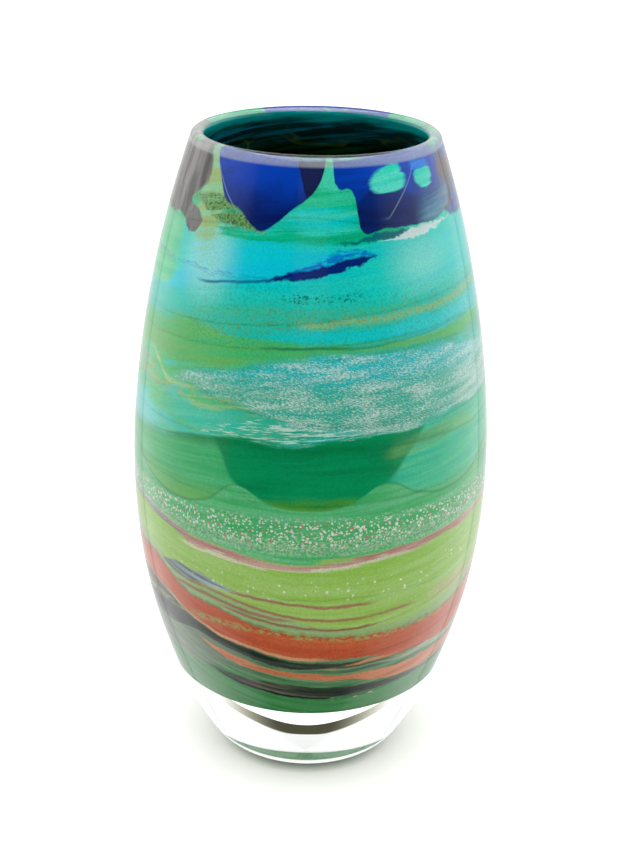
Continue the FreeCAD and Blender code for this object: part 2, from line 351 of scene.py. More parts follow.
class VaseRecipe(Recipe):
    """Recipe with places on the vase in degrees and millimetres, noises along the swirl and the colour so far."""

    def __init__(self, tree):
        super().__init__(tree)
        place = self.add("ShaderNodeTexCoord", {}).outputs["Object"]
        place = self.add("ShaderNodeVectorMath", {0: place, "Scale": 1 / MM}, operation="SCALE").outputs[0]
        self.place = place
        self.x, self.y, level = self.add("ShaderNodeSeparateXYZ", {0: place}).outputs
        self.height = self.total(self.product(level, 1 - CASING_LIFT / NO_LIFT_HEIGHT), CASING_LIFT)
        turn = self.math("ARCTAN2", self.x, self.product(self.y, -1.0))
        self.turn = self.total(self.product(turn, 0.5 / math.pi), 0.5)
        self.azimuth = self.product(self.math("SUBTRACT", self.turn, 0.5), 360.0)
        self.flow = self.total(self.height, self.product(self.swirl_rise(), -1.0))
        soft = self.math("SUBTRACT", self.noise(place, 15.0), 0.5)
        fine = self.math("SUBTRACT", self.noise(place, 2.2, 3.0), 0.5)
        self.strand = self.noise(self.along_flow(38.0, 2.4), 1.0, 3.0, 0.6)
        strand = self.math("SUBTRACT", self.strand, 0.5)
        self.soft_height = self.total(self.height, self.product(soft, 3.0), self.product(fine, 0.8))
        self.rough_height = self.total(self.soft_height, self.product(fine, 2.0))
        self.strand_height = self.total(self.soft_height, self.product(strand, 7.0))
        self.grain = self.noise(place, 0.8, 2.0, 0.6)
        self.colour = cased(38, 94, 50)

    def swirl_rise(self):
        """How far the trails are lifted above their height at the front."""
        low = self.ring([(-180, 24), (-120, 22), (-60, 15), (-40, 8), (0, 0), (40, 2), (70, 9), (120, 18),
                         (180, 24)])
        high = self.ring([(-180, -3), (-110, -7), (-66, -8), (-30, -2), (0, 0), (40, 2), (75, 4), (130, 2),
                          (180, -3)])
        share = self.smooth(self.height, 70.0, 150.0)
        return self.total(self.product(low, self.invert(share)), self.product(high, share))

    def ring(self, pairs):
        """Height as a smooth function of the azimuth."""
        points = [((azimuth + 180) / 360, height / HEIGHT / 2 + 0.5) for azimuth, height in pairs]
        return self.product(self.total(self.curve(self.turn, points), -0.5), 2 * HEIGHT)

    def along_flow(self, length, thickness):
        """Place stretched along the swirl, for strands of that length and thickness."""
        return self.vector(self.product(self.x, 1 / length), self.product(self.y, 1 / length),
                           self.product(self.flow, 1 / thickness))

    def above(self, pairs, height=None, soft=0.6):
        """1 above a line round the vase."""
        gap = self.math("SUBTRACT", height or self.soft_height, self.ring(pairs))
        return self.smooth(gap, -soft, soft)

    def between(self, lower, upper, height=None, soft=0.6):
        """1 between two lines that meet at their ends."""
        height = height or self.soft_height
        over = self.math("SUBTRACT", height, self.ring(lower))
        under = self.math("SUBTRACT", self.ring(upper), height)
        return self.smooth(self.math("MINIMUM", over, under), 0.0, soft)

    def line(self, pairs, width, height=None, soft=0.5):
        """1 on a line of that width, which fades out at its ends."""
        height = height or self.soft_height
        gap = self.math("ABSOLUTE", self.math("SUBTRACT", height, self.ring(pairs)))
        body = self.invert(self.smooth(gap, width / 2 - soft / 2, width / 2 + soft))
        return self.product(body, self.window(pairs[0][0], pairs[-1][0], 8.0))

    def window(self, start, end, fade):
        """1 between two azimuths."""
        rise = self.smooth(self.azimuth, start - fade / 2, start + fade / 2)
        return self.product(rise, self.invert(self.smooth(self.azimuth, end - fade / 2, end + fade / 2)))

    def left_of(self, pairs, soft=1.0):
        """1 to the left of an upright line, given as azimuth and height pairs from the lowest up."""
        points = [(height / LINE_TOP, (azimuth + 180) / 360) for azimuth, height in pairs]
        limit = self.curve(self.product(self.height, 1 / LINE_TOP), points)
        limit = self.product(self.total(limit, -0.5), 360.0)
        wobble = self.product(self.math("SUBTRACT", self.noise(self.place, 5.0, 3.0), 0.5), 6.0)
        gap = self.math("SUBTRACT", limit, self.total(self.azimuth, wobble))
        return self.smooth(gap, -soft, soft)

    def patch(self, azimuth, height, width, tall, soft=0.5):
        """Soft round patch: 1 in the middle and 0 outside."""
        across = self.product(self.total(self.azimuth, -azimuth), 2 / width)
        up = self.product(self.total(self.strand_height, -height), 2 / tall)
        reach = self.math("SQRT", self.total(self.product(across, across), self.product(up, up)))
        return self.invert(self.smooth(reach, 1 - soft, 1 + soft))

    def tones(self, first, second, low=0.35, high=0.65):
        """Two colours mixed in strands along the swirl."""
        return self.mix(self.smooth(self.strand, low, high), cased(*first), cased(*second))

    def lay(self, mask, first, second=None, share=1.0):
        """Covers the colour so far where the mask is 1, with one colour or with two mixed in strands."""
        if share < 1:
            mask = self.product(mask, share)
        if second:
            first = self.tones(first, second)
        elif isinstance(first, tuple):
            first = cased(*first)
        self.colour = self.mix(mask, self.colour, first)


# --- the swirled colours, from the foot to the lip ---
def paint_foot(v):
    """Green foot with a slate swirl and a few pale grains between them."""
    v.colour = v.tones((38, 94, 50), (54, 110, 64))
    slate = v.between([(-180, 52), (-90, 54), (-40, 50), (-22, 45), (0, 43), (20, 43), (40, 44.5), (75, 48),
                       (180, 52)],
                      [(-180, 60), (-90, 60), (-40, 52), (-20, 50.6), (0, 49.6), (30, 48.8), (75, 51),
                       (180, 60)], v.soft_height, 1.2)
    shade = v.mix(v.smooth(v.strand, 0.45, 0.7), cased(34, 40, 36), cased(84, 82, 70))
    v.lay(slate, shade)
    edge = v.line([(-42, 51), (-22, 45.6), (0, 43.4), (12, 43.2)], 0.9)
    v.lay(edge, (22, 26, 24))
    distance, _ = v.cells(v.along_flow(3.0, 0.9), 1.0)
    grains = v.product(v.line([(4, 43), (20, 42.6), (34, 43.4)], 0.9), v.invert(v.smooth(distance, 0.2, 0.4)))
    v.lay(grains, (205, 205, 180))
    upper = v.above([(-180, 60), (-60, 56), (0, 49.6), (30, 49), (75, 51), (180, 60)], v.strand_height, 1.0)
    v.lay(upper, (46, 76, 54), (84, 122, 84))


def paint_trails(v):
    """Thin orange trails and the black streak that runs out to a tip on the right."""
    left_shade = v.product(v.above([(-180, 52), (-60, 50), (0, 60), (180, 52)], v.strand_height, 2.0),
                           v.window(-120, -26, 30))
    v.lay(left_shade, (84, 96, 82), share=0.7)
    trail = v.between([(-46, 64), (-30, 56.4), (-15, 53.8), (0, 52.4), (18, 51.6), (28, 49.6), (60, 49.4),
                       (100, 55)],
                      [(-46, 64), (-30, 60), (-15, 57), (0, 55.6), (20, 54.6), (40, 54.6), (60, 56),
                       (100, 60)], v.soft_height, 0.5)
    v.lay(trail, (196, 112, 78), (168, 84, 54))
    haze = v.between([(2, 56.4), (25, 56.6), (50, 56.8), (100, 60)], [(2, 57), (25, 59), (50, 60), (100, 64)])
    v.lay(haze, (92, 122, 92), (142, 156, 126))
    thin = v.line([(8, 57.6), (22, 59.2), (38, 60.4)], 1.0)
    v.lay(thin, (186, 108, 68))
    streak = v.between([(-90, 66), (-60, 64), (-44, 65), (-30, 61.6), (-15, 58.2), (0, 56.8), (12, 57.6),
                        (30, 61.8)],
                       [(-90, 80), (-60, 77), (-44, 70.4), (-30, 66.2), (-15, 62.6), (0, 60.6), (16, 60.4),
                        (30, 61.8)], v.soft_height, 0.8)
    v.lay(streak, (24, 30, 28), (50, 56, 50))
    branch = v.line([(10, 58), (22, 58), (36, 58.6)], 0.7)
    v.lay(branch, (60, 62, 50))


def paint_orange(v):
    """Orange-red powder, granular where it thins out along its upper edge."""
    band = v.between([(-180, 76), (-100, 80), (-65, 77.6), (-54, 75.8), (-44, 70.2), (-30, 66), (-12, 62.4),
                      (3, 60.6), (19, 61), (40, 59.6), (75, 61), (110, 68), (180, 76)],
                     [(-180, 92), (-100, 94), (-75, 91), (-59, 89.4), (-48, 82.6), (-33, 79), (-12, 74.4),
                      (0, 72.4), (19, 71.4), (40, 72), (60, 74), (75, 80), (110, 88), (180, 92)],
                     v.rough_height, 0.9)
    v.lay(band, (178, 76, 48), (162, 64, 40))
    fringe = v.line([(-56, 76.6), (-44, 71), (-30, 66.8), (-12, 63.2), (6, 61.4)], 1.1)
    v.lay(fringe, (214, 136, 92), share=0.8)
    mixing = v.between([(-14, 71), (0, 69.6), (19, 68.4), (40, 69), (90, 76)],
                       [(-14, 75), (0, 74), (19, 73.4), (40, 74), (90, 83)], v.height, 1.5)
    spots = v.smooth(v.noise(v.along_flow(2.0, 1.0), 1.0, 3.0, 0.7), 0.47, 0.56)
    v.lay(v.product(mixing, spots), (128, 128, 70))


def paint_lime(v):
    """Pale sea-green edge, then lime with maroon threads, a slate-blue wisp and white specks."""
    start = [(-180, 92), (-100, 94), (-75, 91), (-59, 89.4), (-48, 82.8), (-33, 79.2), (-12, 74.6), (0, 72.8),
             (19, 71.8), (40, 72.4), (60, 74.4), (75, 80), (110, 88), (180, 92)]
    v.lay(v.above(start, v.rough_height, 1.0), (126, 160, 104), (112, 152, 88))
    lime = v.above([(-180, 98), (-75, 96), (-48, 88), (-33, 85.5), (-12, 81), (0, 76.6), (20, 75), (45, 75.6),
                    (75, 84), (180, 98)], v.strand_height, 1.2)
    v.lay(lime, (114, 168, 62), (132, 182, 86))
    maroon = (128, 74, 66)
    for pairs, width in (([(-50, 87.4), (-33, 85.4), (-12, 81), (-4, 79.4), (13, 78.7), (29, 79.4),
                           (38, 80.4)], 0.9),
                         ([(-30, 80), (-14, 77.4), (0, 75.2), (12, 74.6), (24, 75.2)], 0.7),
                         ([(-38, 90.4), (-26, 87), (-12, 85.6), (4, 84), (22, 84)], 0.9),
                         ([(-52, 84.6), (-40, 83.6), (-24, 80.8), (-6, 78)], 1.0)):
        thread = v.product(v.line(pairs, width), v.smooth(v.strand, 0.25, 0.5))
        v.lay(thread, maroon, share=0.85)
    lens = v.product(v.patch(62, 82, 30, 7), v.smooth(v.strand, 0.35, 0.6))
    v.lay(lens, (178, 140, 110), share=0.8)
    wisp = v.between([(-58, 90), (-50, 87), (-40, 86.6), (-24, 86.4)],
                     [(-58, 90), (-48, 92), (-36, 90.4), (-24, 87)])
    v.lay(wisp, v.tones((78, 84, 84), (128, 152, 176), 0.4, 0.6))
    distance, tint = v.cells(v.place, 1.7)
    chosen = v.smooth(v.add("ShaderNodeSeparateColor", {0: tint}).outputs[0], 0.66, 0.7)
    specks = v.product(v.invert(v.smooth(distance, 0.22, 0.34)), chosen,
                       v.between([(-180, 96), (-60, 92), (-30, 86), (0, 85), (38, 86), (80, 94), (180, 96)],
                                 [(-180, 106), (-60, 98), (-30, 95), (0, 95), (38, 97), (80, 100),
                                  (180, 106)], v.soft_height, 3.0))
    v.lay(specks, (224, 220, 204))


def paint_mauve(v):
    """Mauve cane laid over the lime, with a fine yellow line along its upper edge."""
    under = v.between([(-180, 110), (-100, 109), (-52, 103.4), (-38, 100.8), (-23, 99.2), (-2, 97.8),
                       (13, 99.4), (29, 101), (50, 103.4), (100, 108), (180, 110)],
                      [(-180, 113), (-100, 112.4), (-52, 107), (-38, 104.4), (-23, 103), (-2, 101),
                       (13, 102.4), (29, 104), (50, 106.6), (100, 111), (180, 113)], v.strand_height, 0.7)
    shade = v.mix(v.smooth(v.azimuth, -60, -36), cased(112, 98, 116), v.tones((156, 92, 92), (188, 136, 124)))
    v.lay(under, shade)
    pale = v.line([(-44, 101), (-23, 99.2), (-2, 98.2), (13, 99.6), (34, 102.2)], 0.8, v.strand_height)
    v.lay(pale, (226, 196, 178), share=0.8)
    gold = v.line([(-40, 105), (-20, 103.6), (0, 102), (14, 103.2), (30, 104.8)], 0.7)
    v.lay(gold, (168, 176, 84), share=0.6)


def paint_speckles(v):
    """Light green band crowded with coarse grains of white, pink, brown and lavender frit."""
    start = [(-180, 113), (-100, 112.4), (-52, 107), (-38, 104.4), (-23, 103), (-2, 101.4), (13, 102.6),
             (29, 104), (50, 106.6), (100, 111), (180, 113)]
    v.lay(v.above(start, v.strand_height, 0.8), (50, 146, 80), (74, 162, 104))
    powder = v.between([(-180, 112), (-60, 105), (0, 102), (40, 104), (180, 112)],
                       [(-180, 118), (-60, 112), (0, 110), (40, 113), (180, 118)], v.strand_height, 3.0)
    powder = v.product(powder, v.smooth(v.noise(v.place, 0.9, 2.0, 0.7), 0.42, 0.6), 0.55)
    v.lay(powder, (178, 186, 166))
    belt = v.between([(-180, 113), (-60, 107), (0, 104), (60, 107), (180, 113)],
                     [(-180, 122), (-60, 118), (0, 118), (60, 119), (180, 122)], v.height, 4.0)
    for size, wanted in ((1.6, 0.45), (1.15, 0.42), (0.8, 0.42)):
        distance, tint = v.cells(v.place, size)
        red, green, _ = v.add("ShaderNodeSeparateColor", {0: tint}).outputs
        dots = v.product(v.invert(v.smooth(distance, 0.26, 0.4)), v.smooth(red, wanted, wanted + 0.03), belt)
        pale = v.mix(v.smooth(green, 0.5, 0.6), cased(236, 226, 206), cased(226, 192, 188))
        frit = v.mix(v.smooth(green, 0.7, 0.72), pale,
                     v.mix(v.smooth(green, 0.88, 0.9), cased(158, 92, 84), cased(178, 182, 204)))
        v.lay(dots, frit)


def paint_emerald(v):
    """Emerald belly in three parts, deep in the middle, leafy at the left and teal at the right. Its scalloped
    lower edge and the arcs round the deep middle are a painted reflection of the table's edge.
    """
    # painted reflection: this scalloped line is the mirrored edge of the table
    start = [(-180, 123), (-100, 125), (-78, 127), (-62, 120), (-47, 116.4), (-34, 119), (-23.6, 126),
             (-12, 121), (0, 119.4), (12, 121), (25, 127.6), (36, 122.6), (48, 120.4), (62, 122.4), (78, 129),
             (110, 125), (180, 123)]
    # painted reflection: these arcs round the deep middle are the mirrored edge of the table too
    middle = [(-180, 150), (-40, 150), (-30, 138), (-24, 127), (-12, 121), (0, 119.4), (12, 121), (25, 127.6),
              (34, 138), (46, 150), (180, 150)]
    side = v.mix(v.smooth(v.azimuth, -20, 20), v.tones((36, 138, 76), (54, 154, 92)),
                 v.tones((30, 156, 120), (56, 170, 118)))
    side = v.mix(v.product(v.smooth(v.strand_height, 126, 119), 0.55), side, cased(88, 146, 52))
    deep = v.mix(v.smooth(v.strand_height, 124, 119), v.tones((10, 114, 68), (6, 100, 60)),
                 cased(56, 116, 34))
    painted_reflection_lobes = v.above(start, v.height, 0.35)
    v.lay(painted_reflection_lobes, side)
    v.lay(v.product(v.above(middle, v.height, 1.6), painted_reflection_lobes), deep)
    # darker line along the scalloped edge of the painted reflection, away from the front
    edge = v.product(v.line(start, 0.5, v.height, 0.6), v.smooth(v.math("ABSOLUTE", v.azimuth), 22, 27), 0.5)
    v.lay(edge, (30, 92, 52))
    olive = v.line([(26, 138), (38, 140), (52, 141), (66, 140)], 3.0, v.strand_height, 2.0)
    v.lay(olive, (98, 150, 76), share=0.5)
    dark = v.between([(-180, 134), (-60, 134), (-30, 136), (0, 136), (28, 137), (75, 138), (180, 134)],
                     [(-180, 145), (-60, 141.6), (-30, 142), (0, 143), (28, 143), (75, 141), (180, 145)],
                     v.strand_height, 4.0)
    v.lay(dark, (2, 80, 44), (6, 94, 60), share=0.8)


def paint_feather(v):
    """Green at the left and teal at the right, ochre curls, and the combed white frit feather."""
    start = [(-180, 144), (-100, 138), (-60, 137), (-30, 140.6), (0, 142.4), (15, 144), (60, 146), (110, 147),
             (180, 144)]
    sea = v.mix(v.smooth(v.azimuth, -44, -4), v.tones((58, 158, 84), (66, 172, 104)),
                v.tones((30, 140, 108), (40, 158, 132)))
    cyan = v.smooth(v.noise(v.along_flow(16.0, 5.0), 1.0, 3.0), 0.5, 0.64)
    sea = v.mix(v.product(cyan, 0.8), sea, cased(40, 172, 160))
    v.lay(v.above(start, v.strand_height, 1.2), sea)
    v.lay(v.patch(-34, 146, 40, 7), (36, 168, 142), (56, 178, 150), share=0.9)
    v.lay(v.patch(-74, 140, 40, 10, 0.5), (70, 190, 200), share=0.8)
    veil = v.between([(-74, 148), (-56, 148), (-40, 149.6), (-24, 150), (-10, 150.4)],
                     [(-74, 162), (-56, 156), (-40, 156), (-24, 158), (-10, 150.4)], v.strand_height, 4.0)
    veil = v.product(veil, v.smooth(v.noise(v.along_flow(7.0, 1.4), 1.0, 4.0, 0.65, 0.4), 0.4, 0.6))
    v.lay(veil, (118, 140, 74), (146, 148, 96), share=0.85)
    for pairs, width in (([(-66, 162), (-60, 158), (-54, 154.6), (-46, 154.6), (-34, 156.4), (-22, 157)],
                          1.0), ([(-44, 150.6), (-30, 150.6), (-20, 153), (-8, 153)], 1.1)):
        curl = v.product(v.line(pairs, width, v.soft_height, 1.0), v.smooth(v.strand, 0.3, 0.55))
        v.lay(curl, (176, 188, 110), share=0.65)
    lower = [(-56, 156), (-46, 154.6), (-25, 152), (-12, 149), (-2, 145), (8, 144), (29, 144.4), (44, 145.4),
             (75, 147), (120, 152), (150, 160)]
    upper = [(-56, 156), (-46, 159.6), (-33, 163.6), (-17, 167), (-2, 170), (13, 171.4), (40, 170.6),
             (55, 169), (75, 165), (120, 163), (150, 160)]
    body = v.between(lower, upper, v.strand_height, 2.2)
    sheet = v.mix(v.smooth(v.soft_height, 156, 166), cased(38, 142, 122), cased(18, 158, 174))
    v.lay(body, sheet, share=0.92)
    along = v.math("SUBTRACT", v.product(v.azimuth, 0.9), v.product(v.height, 0.42))
    across = v.total(v.product(v.azimuth, 0.34), v.product(v.height, 0.92))
    comb = v.noise(v.vector(v.product(along, 0.9), v.product(across, 3.4), 0.0), 1.0, 4.0, 0.75, 0.2)
    crowd = v.noise(v.along_flow(14.0, 3.0), 1.0, 2.0)
    limit = v.math("SUBTRACT", 0.64, v.product(crowd, 0.36))
    combed = v.smooth(comb, limit, v.total(limit, 0.16))
    v.lay(v.product(body, combed), (214, 228, 216), share=0.92)
    fade = v.product(body, v.smooth(v.azimuth, 36, 66), v.smooth(v.strand, 0.3, 0.7), 0.6)
    v.lay(fade, (186, 222, 212))
    hair = v.between([(-46, 141), (-30, 140.6), (-6, 141.4), (22, 143)],
                     [(-46, 141), (-30, 145.6), (-6, 151), (22, 143)], v.strand_height, 1.2)
    hairs = v.product(hair, v.smooth(v.noise(v.along_flow(6.0, 0.5), 1.0, 3.0, 0.6, 0.2), 0.5, 0.62))
    v.lay(hairs, (176, 222, 200))


def paint_olive(v):
    """Grainy green and olive band with a thin dark line, ochre wisps and cyan pools."""
    start = [(-180, 168), (-110, 166), (-66, 162), (-40, 162), (-17, 167.4), (0, 170), (15, 171.4), (40, 171),
             (60, 170), (90, 172), (180, 168)]
    v.lay(v.above(start, v.rough_height, 1.4), (52, 156, 84), (74, 150, 70))
    dark = v.line([(-16, 171.6), (-8, 172.2), (15, 172.8), (40, 174), (70, 175.6)], 0.7)
    v.lay(dark, (24, 92, 58), share=0.7)
    upper = v.above([(-180, 178), (-110, 176), (-66, 172), (-46, 176), (-20, 174), (0, 173.6), (30, 174.4),
                     (60, 176), (180, 178)], v.strand_height, 1.4)
    v.lay(upper, (30, 172, 140), (24, 166, 152))
    pools = v.total(v.patch(6, 176, 40, 5), v.patch(48, 177, 50, 6), v.patch(78, 178, 30, 8))
    v.lay(v.math("MINIMUM", pools, 1.0), (0, 180, 196), share=0.85)
    dots = v.noise(v.place, 1.1, 3.0, 0.7)
    veil = v.between([(-80, 170), (-60, 172), (-40, 173), (-10, 176), (20, 178), (60, 181), (80, 182),
                      (120, 184)],
                     [(-80, 172), (-60, 177), (-40, 182), (-10, 187), (20, 186), (60, 185.4), (80, 186),
                      (120, 184)], v.strand_height, 3.0)
    v.lay(v.product(veil, v.smooth(dots, 0.42, 0.6)), (76, 140, 66), share=0.55)
    for pairs, width, depth in (([(-4, 180), (20, 181), (45, 182), (60, 183), (80, 184.4)], 1.3, 0.7),
                                ([(34, 187), (44, 189), (56, 193), (74, 195)], 1.6, 0.4)):
        wisp = v.product(v.line(pairs, width, v.soft_height, 1.4), v.smooth(dots, 0.3, 0.55), depth)
        v.lay(wisp, (140, 150, 70))


def paint_turquoise(v):
    """Turquoise, bright cyan left of the middle, with the ragged navy feather and dark flecks."""
    start = [(-180, 182), (-110, 180), (-66, 179), (-40, 184), (0, 187), (30, 187), (75, 188), (180, 182)]
    v.lay(v.above(start, v.strand_height, 3.0), (8, 180, 180), (26, 190, 170))
    dots = v.noise(v.place, 1.1, 3.0, 0.7)
    grit = v.product(v.smooth(v.height, 197, 186), v.smooth(dots, 0.5, 0.62), v.smooth(v.azimuth, -56, -40),
                     0.4)
    v.lay(grit, (30, 130, 90))
    left = v.product(v.smooth(v.azimuth, -56, -64), v.above([(-180, 182), (180, 182)], v.strand_height, 3.0))
    v.lay(left, (44, 166, 96), (70, 180, 112), share=0.9)
    bright = v.between([(-76, 179), (-60, 181), (-44, 187), (-20, 190.6), (10, 196), (34, 201)],
                       [(-76, 182), (-60, 189), (-48, 201), (-34, 204), (-4, 204.6), (34, 201)],
                       v.strand_height, 3.4)
    v.lay(bright, (0, 172, 222), (0, 182, 206))
    cloud = v.total(v.patch(-43, 198, 20, 26, 0.7), v.product(v.patch(44, 197, 22, 14, 0.9), 0.7))
    v.lay(v.math("MINIMUM", cloud, 1.0), (132, 216, 204), share=0.7)
    flecks = v.product(v.line([(-10, 187.6), (4, 188), (18, 187.8)], 2.4), v.smooth(v.grain, 0.54, 0.6))
    v.lay(flecks, (8, 74, 70), share=0.85)
    tail = v.line([(-44, 189.4), (-29, 191), (-12, 193), (0, 194.2)], 0.7)
    v.lay(v.product(tail, v.smooth(v.strand, 0.2, 0.5)), (0, 86, 128))
    body = v.between([(-16, 192.6), (-4, 193.8), (8, 195.6), (16, 197.4), (26, 199.8)],
                     [(-16, 193.6), (-4, 197.4), (4, 201.4), (16, 203), (26, 199.8)], v.rough_height, 0.9)
    ragged = v.smooth(v.noise(v.along_flow(6.0, 1.6), 1.0, 4.0, 0.7, 0.6), 0.38, 0.56)
    v.lay(v.product(body, ragged), (0, 84, 178))
    lower = v.between([(-18, 192), (-4, 193.2), (8, 195.2), (16, 197), (26, 199.8)],
                      [(-18, 192.6), (-4, 196.4), (8, 199), (16, 200.4), (26, 199.8)], v.rough_height, 0.8)
    v.lay(v.product(lower, v.smooth(v.strand, 0.15, 0.4)), (0, 26, 84))
    strip = v.between([(-46, 205), (-24, 203.4), (4, 204), (24, 203.6), (44, 207)],
                      [(-46, 206), (-24, 208), (4, 209), (24, 208.6), (44, 208)], v.strand_height, 1.4)
    v.lay(strip, (0, 142, 92), (12, 160, 108))
    wedge = v.between([(6, 204.4), (20, 204), (34, 205), (42, 207.6)],
                      [(6, 204.8), (20, 206.2), (34, 207.4), (42, 207.6)], v.rough_height, 0.8)
    v.lay(wedge, (0, 58, 84), share=0.85)
    crest = v.between([(22, 203.6), (32, 204), (44, 204), (58, 206), (76, 206)],
                      [(22, 203.6), (32, 205.4), (44, 208), (58, 207.6), (76, 206)], v.rough_height, 0.7)
    v.lay(v.product(crest, v.smooth(v.strand, 0.15, 0.35)), (204, 240, 232))


def paint_neck(v):
    """Mint neck with charcoal shards at the sides, cobalt ones in the middle and behind, and pale chips."""
    start = [(-180, 211), (-120, 208), (-60, 206.6), (-30, 208), (0, 208.6), (40, 208), (120, 209),
             (180, 211)]
    mint = v.tones((12, 162, 98), (40, 188, 132))
    v.lay(v.above(start, v.strand_height, 1.2), mint)
    v.lay(v.patch(2, 211.6, 34, 7, 0.4), (0, 184, 190), (40, 200, 180), share=0.9)
    v.lay(v.patch(8, 224, 12, 8, 0.5), (52, 210, 156), share=0.85)
    v.lay(v.patch(-46, 216, 16, 30, 0.35), (112, 186, 128), (128, 158, 82))
    mossy = v.between([(-52, 212), (-40, 207), (-30, 206), (-16, 206)],
                      [(-52, 216), (-40, 217), (-30, 214), (-16, 206)], v.rough_height, 2.0)
    moss = v.mix(v.smooth(v.noise(v.place, 0.8, 3.0, 0.8), 0.36, 0.6), cased(32, 60, 34), cased(88, 144, 70))
    v.lay(v.product(mossy, v.smooth(v.strand, 0.25, 0.5)), moss)
    charcoal = v.between([(-112, 236), (-106, 220), (-92, 208), (-75, 205), (-62, 206), (-56, 202),
                          (-49, 206), (-45, 236)], [(-112, 240), (-45, 240)], v.rough_height, 0.8)
    charcoal = v.product(charcoal,
                         v.left_of([(-49, 190), (-51, 200), (-48, 206), (-51, 209), (-58.6, 212.6),
                                    (-52, 217.4), (-50, 222), (-53, 228), (-56, 240)]))
    smoke = v.mix(v.smooth(v.noise(v.vector(v.product(v.azimuth, 0.16), v.product(v.height, 0.05), 0.0), 1.0,
                                   3.0), 0.4, 0.62), cased(44, 44, 42), cased(92, 86, 84))
    v.lay(charcoal, smoke)
    right = v.between([(59, 236), (61, 222), (64, 208), (75, 206.4), (95, 209), (108, 220), (114, 236)],
                      [(59, 240), (114, 240)], v.rough_height, 1.4)
    v.lay(right,
          v.mix(v.smooth(v.noise(v.place, 7.0, 3.0), 0.42, 0.6), cased(72, 62, 60), cased(28, 62, 122)))
    behind = v.between([(138, 236), (146, 219), (160, 214), (172, 217), (180, 222)], [(138, 240), (180, 240)],
                       v.rough_height, 0.8)
    behind = v.total(behind,
                     v.between([(-180, 222), (-166, 214), (-156, 220), (-150, 236)],
                               [(-180, 240), (-150, 240)], v.rough_height, 0.8))
    left_blue = v.between([(-50, 238), (-47, 226), (-42.6, 220), (-38, 214), (-31, 212.4), (-24, 207.8),
                           (-20, 207), (-15, 209.4), (-9, 214), (-3, 217.4), (2, 222), (4, 226), (6, 238)],
                          [(-50, 240), (6, 240)], v.soft_height, 0.7)
    right_blue = v.between([(7.4, 238), (8, 223), (10, 220.4), (15.6, 219.8), (17.6, 215), (18.4, 208),
                            (30, 207.6), (42, 207.8), (62, 208.6), (70, 212), (76, 238)],
                           [(7.4, 240), (76, 240)], v.soft_height, 0.7)
    dive = v.total(v.height, v.product(v.math("SUBTRACT", v.noise(v.place, 9.0, 2.0), 0.5), 10.0))
    blue = v.mix(v.smooth(dive, 211, 225), cased(0, 24, 78), cased(0, 44, 154))
    blue = v.mix(v.product(v.smooth(v.strand, 0.5, 0.75), 0.5), blue, cased(0, 16, 62))
    for mask in (behind, left_blue, v.product(right_blue, v.smooth(v.azimuth, 68, 60))):
        v.lay(mask, blue)
    deep = v.product(right_blue,
                     v.between([(14, 206), (20, 206), (46, 206), (58, 206)],
                               [(14, 206), (20, 219), (46, 217), (58, 206)], v.soft_height, 2.0))
    v.lay(deep, (0, 24, 66), share=0.7)
    fold = v.product(v.between([(-9, 234), (-5, 222), (-2, 216.4), (2, 219), (6, 230)], [(-9, 240), (6, 240)],
                               v.rough_height, 1.2), left_blue)
    v.lay(fold, (8, 10, 22), share=0.85)
    haze = v.product(right_blue, v.smooth(v.azimuth, 42, 54), v.smooth(v.height, 220, 211))
    v.lay(haze, (84, 136, 160), (40, 92, 132), share=0.75)
    for azimuth, height, width, tall in ((32.6, 222.6, 18, 7.4), (53, 221.6, 12, 6.4)):
        chip = v.product(v.patch(azimuth, height, width, tall, 0.16), right_blue)
        v.lay(chip, (16, 206, 158), (64, 226, 184))
    spark = v.product(v.patch(52, 225.6, 12, 3.4, 0.3), right_blue)
    v.lay(spark, (0, 92, 214))
    for pairs in ([(-47, 226), (-43, 221.6), (-38, 216.6), (-32, 212)],
                  [(31, 211), (37, 216), (43, 221), (47.6, 226)]):
        v.lay(v.line(pairs, 0.35, v.height, 0.35), (120, 160, 210), share=0.45)
    # painted highlight: a pale grey veil over the colour right under the lip, for the soft box overhead mirrored
    # there
    rim = v.smooth(v.height, 226.6, 227.6)
    v.lay(rim, (150, 156, 150), share=0.5)


def paint_inside(v):
    """The inner faces are painted dark green-black, a painted shade of the inside of the vase, with painted olive
    glints and a few swirls of the colours under the lip.
    """
    normal = v.add("ShaderNodeNewGeometry", {}).outputs["True Normal"]
    middle = (0, 0, HEIGHT / 2)
    arm = v.add("ShaderNodeVectorMath", {0: v.place, 1: middle}, operation="SUBTRACT").outputs[0]
    outward = v.add("ShaderNodeVectorMath", {0: normal, 1: arm}, operation="DOT_PRODUCT").outputs["Value"]
    inner = v.math("LESS_THAN", outward, 0.0)
    # painted glints: thin olive ridges on the dark inner wall
    glint_folds = v.noise(v.vector(v.product(v.x, 0.03), v.product(v.y, 0.03), v.product(v.height, 0.09)), 1.0, 2.0,
                    0.4, 1.6)
    glint_ridge = v.invert(v.smooth(v.math("ABSOLUTE", v.math("SUBTRACT", glint_folds, 0.5)), 0.0, 0.03))
    # painted shade: the inside is coloured near black for the shade in the vase
    dark = v.mix(v.smooth(v.strand, 0.4, 0.7), cased(6, 24, 8), cased(16, 48, 16))
    dark = v.mix(v.product(glint_ridge, 0.55), dark, cased(58, 82, 26))
    # under the lip the painted shade gives way to teal and blue swirls
    rim = v.smooth(v.strand_height, 215, 226)
    swirl = v.mix(v.smooth(v.strand, 0.44, 0.6), cased(0, 40, 44), cased(0, 96, 122))
    dark = v.mix(rim, dark, v.mix(v.smooth(v.strand_height, 224, 229), swirl, cased(0, 138, 132)))
    v.lay(inner, dark)


